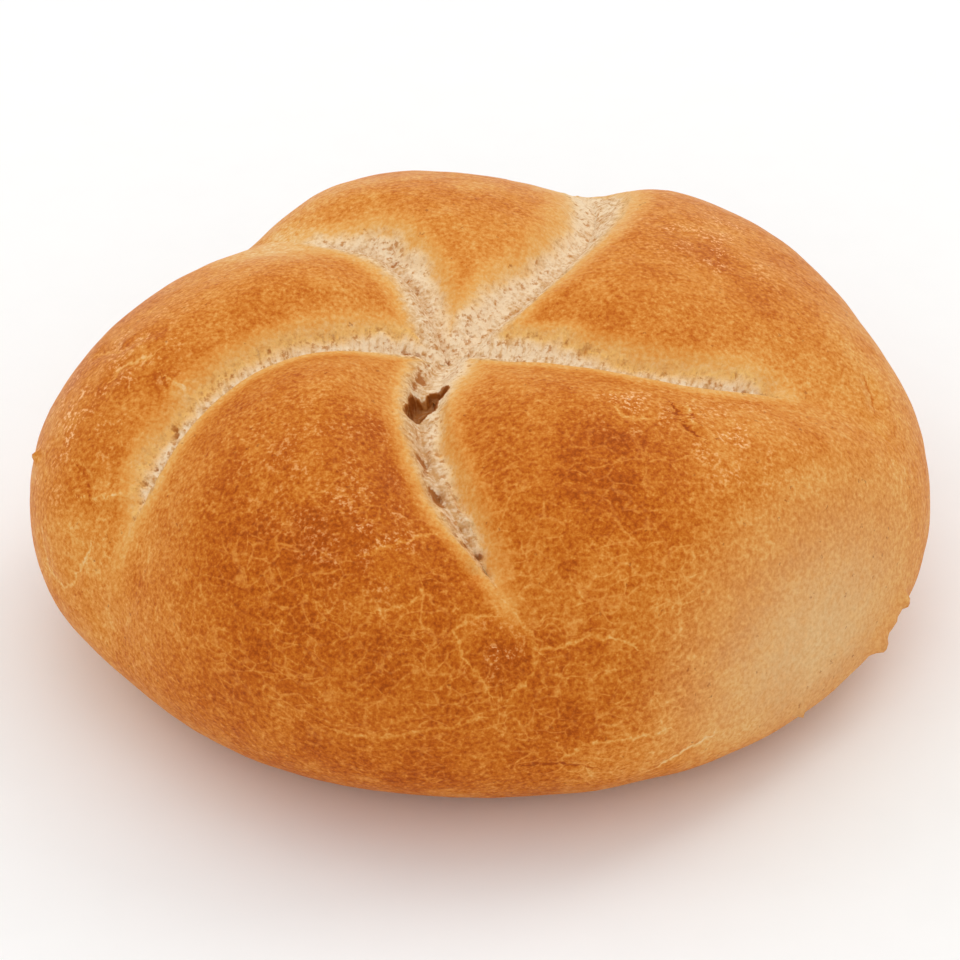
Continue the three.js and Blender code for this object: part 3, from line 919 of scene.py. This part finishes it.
def crust_colour(tree, field, cloud, speck, pick):
    """Colour of the crust, with masks of where it was pressed and where glints are painted."""
    line, paler = crust_lines(tree, field, cloud)
    browning = crust_browning(tree, field, cloud, paler)
    crust = add_node(tree, "ValToRGB", {"Fac": browning})
    stops = crust.node.color_ramp.elements
    for position, _ in CRUST_COLOURS[1:-1]:
        stops.new(position)
    for stop, (_, colour) in zip(stops, CRUST_COLOURS):
        stop.color = to_linear(colour)

    pressed = add_node(tree, "Math", {0: cloud["mottle"], 1: cloud["grain"]}, operation="ADD")
    pressed = add_node(tree, "Math", {0: pressed, 1: field["pale"]}, operation="MULTIPLY")
    pressed_tint = add_node(
        tree, "MapRange", {"Value": cloud["grain"], "From Min": 0.35, "From Max": 0.65}
    )
    light, dark = map(to_linear, PRESSED_CRUST)
    pressed_tint = add_node(
        tree, "Mix", {"Factor": pressed_tint, 6: light, 7: dark}, output=2, data_type="RGBA"
    )
    fleck = add_node(
        tree, "MapRange",
        {"Value": cloud["grain"], "From Min": 0.38, "From Max": 0.24, "To Max": FLECK_SHARE},
    )
    film = add_node(tree, "Math", {0: line, 1: fleck}, operation="MAXIMUM")

    # Painted glints: pale highlight flecks, where the crust is also glossier
    painted_glint = add_node(
        tree, "MapRange", {"Value": cloud["grain"], "From Min": 0.46, "From Max": 0.37}
    )
    painted_glint = add_node(tree, "Math", {0: painted_glint, 1: field["painted_glint"]}, operation="MULTIPLY")
    pinhole_here = add_node(
        tree, "Math", {0: pick["Green"], 1: 1 - PINHOLE_SHARE}, operation="GREATER_THAN"
    )
    pinhole = add_node(
        tree, "MapRange",
        {
            "Value": speck,
            "From Min": 0.5 * PINHOLE_RADIUS / SPECK_SPACING,
            "From Max": 1.4 * PINHOLE_RADIUS / SPECK_SPACING,
            "To Min": 0.6, "To Max": 0.0,
        },
    )
    pinhole = add_node(tree, "Math", {0: pinhole, 1: pinhole_here}, operation="MULTIPLY")
    for mask, tint in (
        (pressed, pressed_tint), (film, to_linear(STARCH_FILM)),
        (painted_glint, to_linear(PAINTED_GLINT)), (pinhole, to_linear(PINHOLE)),
    ):
        crust = add_node(
            tree, "Mix", {"Factor": mask, 6: crust, 7: tint}, output=2, data_type="RGBA"
        )
    return crust, pressed, painted_glint


def crumb_colour(tree, field, cloud, comb, speck, pick):
    """Colour of the crumb: combed and golden at its edge, with painted shade where it is deep,
    near the lip, in its pores and in its pits and hollows.
    """
    baked = add_node(tree, "Math", {0: comb, 1: 1.2, 2: field["baked"]}, operation="MULTIPLY_ADD")
    baked = add_node(tree, "MapRange", {"Value": baked, "From Min": 0.6, "From Max": 1.6})
    crumb = add_node(
        tree, "Mix", {"Factor": baked, 6: to_linear(CRUMB_LIGHT), 7: to_linear(CRUMB_BAKED)},
        output=2, data_type="RGBA",
    )

    # Painted shade where the crumb is deep and near the lip, with its darker fibres and grain
    fibres_and_shade = add_node(
        tree, "MapRange",
        {"Value": field["depth"], "From Min": 1.6, "From Max": 3.4, "To Max": 0.4},
    )
    for part, amount in (
        (comb, 3.0), (cloud["grain"], 2.2), (cloud["mottle"], 0.8), (field["shaded"], 0.4),
    ):
        fibres_and_shade = add_node(tree, "Math", {0: part, 1: amount, 2: fibres_and_shade}, operation="MULTIPLY_ADD")
    fibres_and_shade = add_node(tree, "MapRange", {"Value": fibres_and_shade, "From Min": 2.95, "From Max": 3.75})

    # Pores: round specks of painted shade
    pore_size = add_node(
        tree, "MapRange",
        {
            "Value": pick["Red"], "From Min": 0.3, "From Max": 1.0,
            "To Max": PORE_RADIUS / SPECK_SPACING,
        },
    )
    pore = add_node(tree, "Math", {0: pore_size, 1: speck}, operation="SUBTRACT")
    pore = add_node(tree, "Math", {0: cloud["grain"], 1: 1.2, 2: pore}, operation="MULTIPLY_ADD")
    pore = add_node(
        tree, "MapRange", {"Value": pore, "From Min": 0.5, "From Max": 0.9, "To Max": 0.75},
        interpolation_type="SMOOTHSTEP",
    )

    # Painted shade in the pits and hollows, and darkest under the torn hole's edge
    ragged = add_node(tree, "Math", {0: cloud["grain"], 1: field["hollow"]}, operation="ADD")
    hollow, hole = (
        add_node(
            tree, "MapRange", {"Value": ragged, "From Min": low, "From Max": high, "To Max": 0.9}
        )
        for low, high in ((0.85, 1.15), (1.6, 2.3))
    )
    for mask, tint in (
        (fibres_and_shade, CRUMB_DARK_AND_SHADED), (pore, PAINTED_PORE_SHADE), (hollow, PAINTED_HOLLOW_SHADE), (hole, PAINTED_HOLE_EDGE_SHADE),
    ):
        crumb = add_node(
            tree, "Mix", {"Factor": mask, 6: crumb, 7: to_linear(tint)}, output=2, data_type="RGBA"
        )
    return crumb


def make_bread():
    """Wheat crust and crumb, baked at high heat with steam.

    The steam leaves a thin starch film, so the crust has a soft satin gloss over fine mottled
    browning with pale craze lines. The crumb that burst open is matt, pale and pored, and it
    is golden where it dried first.
    """
    material, tree = new_material("baked wheat crust and crumb")
    field = {
        name: add_node(tree, "Attribute", output="Fac", attribute_name=name)
        for name in (
            "inside", "golden", "tone", "crazed", "painted_glint", "crease", "crease_tint",
            "pale", "depth", "shaded", "along", "across", "combed", "hollow", "baked",
        )
    }
    place = add_node(tree, "TexCoord", output="Object")
    cloud = {
        name: add_node(
            tree, "TexNoise",
            {"Vector": place, "Scale": 1 / (size * MM), "Detail": octaves, "Roughness": 0.65},
        )
        for name, size, octaves, _ in CLOUDS
    }

    # Specks, bent by the grain so that none is round: painted shade of pores in the crumb,
    # pinholes in the crust
    three_grains = cloud["grain"].node.outputs["Color"]
    speck_place = add_node(
        tree, "VectorMath", {0: three_grains, 1: (SPECK_WARP * MM,) * 3, 2: place},
        operation="MULTIPLY_ADD",
    )
    speck = add_node(
        tree, "TexVoronoi", {"Vector": speck_place, "Scale": 1 / (SPECK_SPACING * MM)}
    )
    # Two random numbers for each speck, in its red and green
    pick = add_node(tree, "SeparateColor", {"Color": speck.node.outputs["Color"]}).node.outputs

    # The comb of the crumb: short strands across the cut
    comb_place = add_node(tree, "CombineXYZ", {"X": field["along"], "Y": field["across"]})
    comb_place = add_node(
        tree, "VectorMath", {0: comb_place, 1: (1 / COMB_PITCH, 1 / COMB_LENGTH, 1.0)},
        operation="MULTIPLY",
    )
    comb = add_node(tree, "TexNoise", {"Vector": comb_place, "Scale": 1.0, "Detail": 3.0})
    comb = add_node(tree, "Mix", {"Factor": field["combed"], 2: 0.5, 3: comb})

    crust, pressed, painted_glint = crust_colour(tree, field, cloud, speck, pick)
    crumb = crumb_colour(tree, field, cloud, comb, speck, pick)
    edge = field["inside"]
    for part, amount in ((comb, 1.2), (cloud["mottle"], 2.4)):
        edge = add_node(tree, "Math", {0: part, 1: amount, 2: edge}, operation="MULTIPLY_ADD")
    in_crumb = add_node(tree, "MapRange", {"Value": edge, "From Min": 1.4, "From Max": 2.4})
    colour = add_node(
        tree, "Mix", {"Factor": in_crumb, 6: crust, 7: crumb}, output=2, data_type="RGBA"
    )

    # Bumps in mm: mottle and grain on the crust, comb and grain in the crumb
    heights = []
    for first, second, share, amount in (
        (cloud["mottle"], cloud["grain"], 0.5, CRUST_BUMP),
        (cloud["grain"], comb, 1.0, CRUMB_BUMP),
    ):
        height = add_node(tree, "Math", {0: second, 1: share, 2: first}, operation="MULTIPLY_ADD")
        heights.append(add_node(tree, "Math", {0: height, 1: amount}, operation="MULTIPLY"))
    height = add_node(tree, "Mix", {"Factor": in_crumb, 2: heights[0], 3: heights[1]})
    normal = add_node(tree, "Bump", {"Height": height, "Distance": MM})

    roughness = add_node(
        tree, "MapRange",
        {
            "Value": cloud["mottle"], "From Min": 0.3, "From Max": 0.7,
            "To Min": CRUST_ROUGHNESS[0], "To Max": CRUST_ROUGHNESS[1],
        },
    )
    for mask, value in (
        (painted_glint, PAINTED_GLINT_ROUGHNESS), (pressed, PRESSED_ROUGHNESS), (in_crumb, CRUMB_ROUGHNESS),
    ):
        roughness = add_node(tree, "Mix", {"Factor": mask, 2: roughness, 3: value})
    shader = add_node(
        tree, "BsdfPrincipled",
        {
            "Base Color": colour, "Roughness": roughness, "Normal": normal, "IOR": 1.45,
            "Specular IOR Level": 0.1,
        },
    )
    add_node(tree, "OutputMaterial", {"Surface": shader})
    return material


def make_paper():
    """Matt white paper, so its colour is even and it has no gloss to show."""
    material, tree = new_material("matt white paper")
    place = add_node(tree, "TexCoord", output="Object")
    fibres = add_node(tree, "TexNoise", {"Vector": place, "Scale": 1 / (6 * MM), "Detail": 3.0})
    colour = add_node(
        tree, "Mix", {"Factor": fibres, 6: to_linear("#FBFBFA"), 7: to_linear("#F8F8F7")},
        output=2, data_type="RGBA",
    )
    shader = add_node(
        tree, "BsdfPrincipled",
        {"Base Color": colour, "Roughness": 0.95, "IOR": 1.45, "Specular IOR Level": 0.1},
    )
    add_node(tree, "OutputMaterial", {"Surface": shader})
    return material


# ---------------------------------------------------------------- stage, light and camera
FLOOR_SIZE = 3.0
ROOM_LIGHT = 0.78
# Azimuth and elevation in degrees, distance and size in m, power in W
LIGHTS = (
    ("overhead sheet", 95, 72, 1.1, 1.0, 1.8),
    ("right back window", 38, 50, 1.0, 0.45, 1.1),
    ("left window", 160, 42, 1.1, 0.6, 0.8),
    ("front fill", 262, 34, 1.3, 0.9, 1.4),
)


def make_floor():
    mesh = bpy.data.meshes.new("floor")
    half = FLOOR_SIZE / 2
    corners = [(-half, -half, 0), (half, -half, 0), (half, half, 0), (-half, half, 0)]
    mesh.from_pydata(corners, [], [(0, 1, 2, 3)])
    mesh.materials.append(make_paper())
    return add_object("floor", mesh)


def direction(azimuth, elevation):
    azimuth, elevation = np.radians(azimuth), np.radians(elevation)
    level = np.cos(elevation)
    return Vector((level * np.cos(azimuth), level * np.sin(azimuth), np.sin(elevation)))


def make_lights(target):
    world = bpy.data.worlds.new("soft white room")
    world.use_nodes = True
    background = world.node_tree.nodes["Background"]
    background.inputs["Color"].default_value = (1, 1, 1, 1)
    background.inputs["Strength"].default_value = ROOM_LIGHT
    bpy.context.scene.world = world
    for name, azimuth, elevation, distance, size, power in LIGHTS:
        data = bpy.data.lights.new(name, "AREA")
        data.shape = "DISK"
        data.size = size
        data.energy = power
        lamp = add_object(name, data)
        away = direction(azimuth, elevation)
        lamp.location = target + away * distance
        lamp.rotation_euler = away.to_track_quat("Z", "Y").to_euler()


def make_camera(moved):
    """A long lens in front of the roll, aimed so that it lies a little right of the middle."""
    backwards = direction(-90, CAMERA_ELEVATION)
    rightwards = Vector((1, 0, 0))
    upwards = backwards.cross(rightwards)
    across, down = (IMAGE_SIZE / 2 - pixel for pixel in AIM_PIXEL)
    aim = Vector((moved[0], moved[1], AIM_HEIGHT))
    aim += rightwards * (across / PIXELS_PER_MM) - upwards * (down / PIXELS_PER_MM)

    data = bpy.data.cameras.new("camera")
    data.sensor_width = SENSOR_WIDTH
    data.lens = PIXELS_PER_MM * CAMERA_DISTANCE * SENSOR_WIDTH / IMAGE_SIZE
    camera = add_object("camera", data)
    camera.location = (aim + backwards * CAMERA_DISTANCE) * MM
    camera.rotation_euler = backwards.to_track_quat("Z", "Y").to_euler()
    bpy.context.scene.camera = camera


roll, moved = make_roll()
roll.data.materials.append(make_bread())
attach(roll, "root")
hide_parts("bread_roll")

floor = make_floor()
make_lights(Vector((0, 0, AIM_HEIGHT * MM)))
make_camera(moved)
bpy.context.scene.view_settings.view_transform = "Standard"
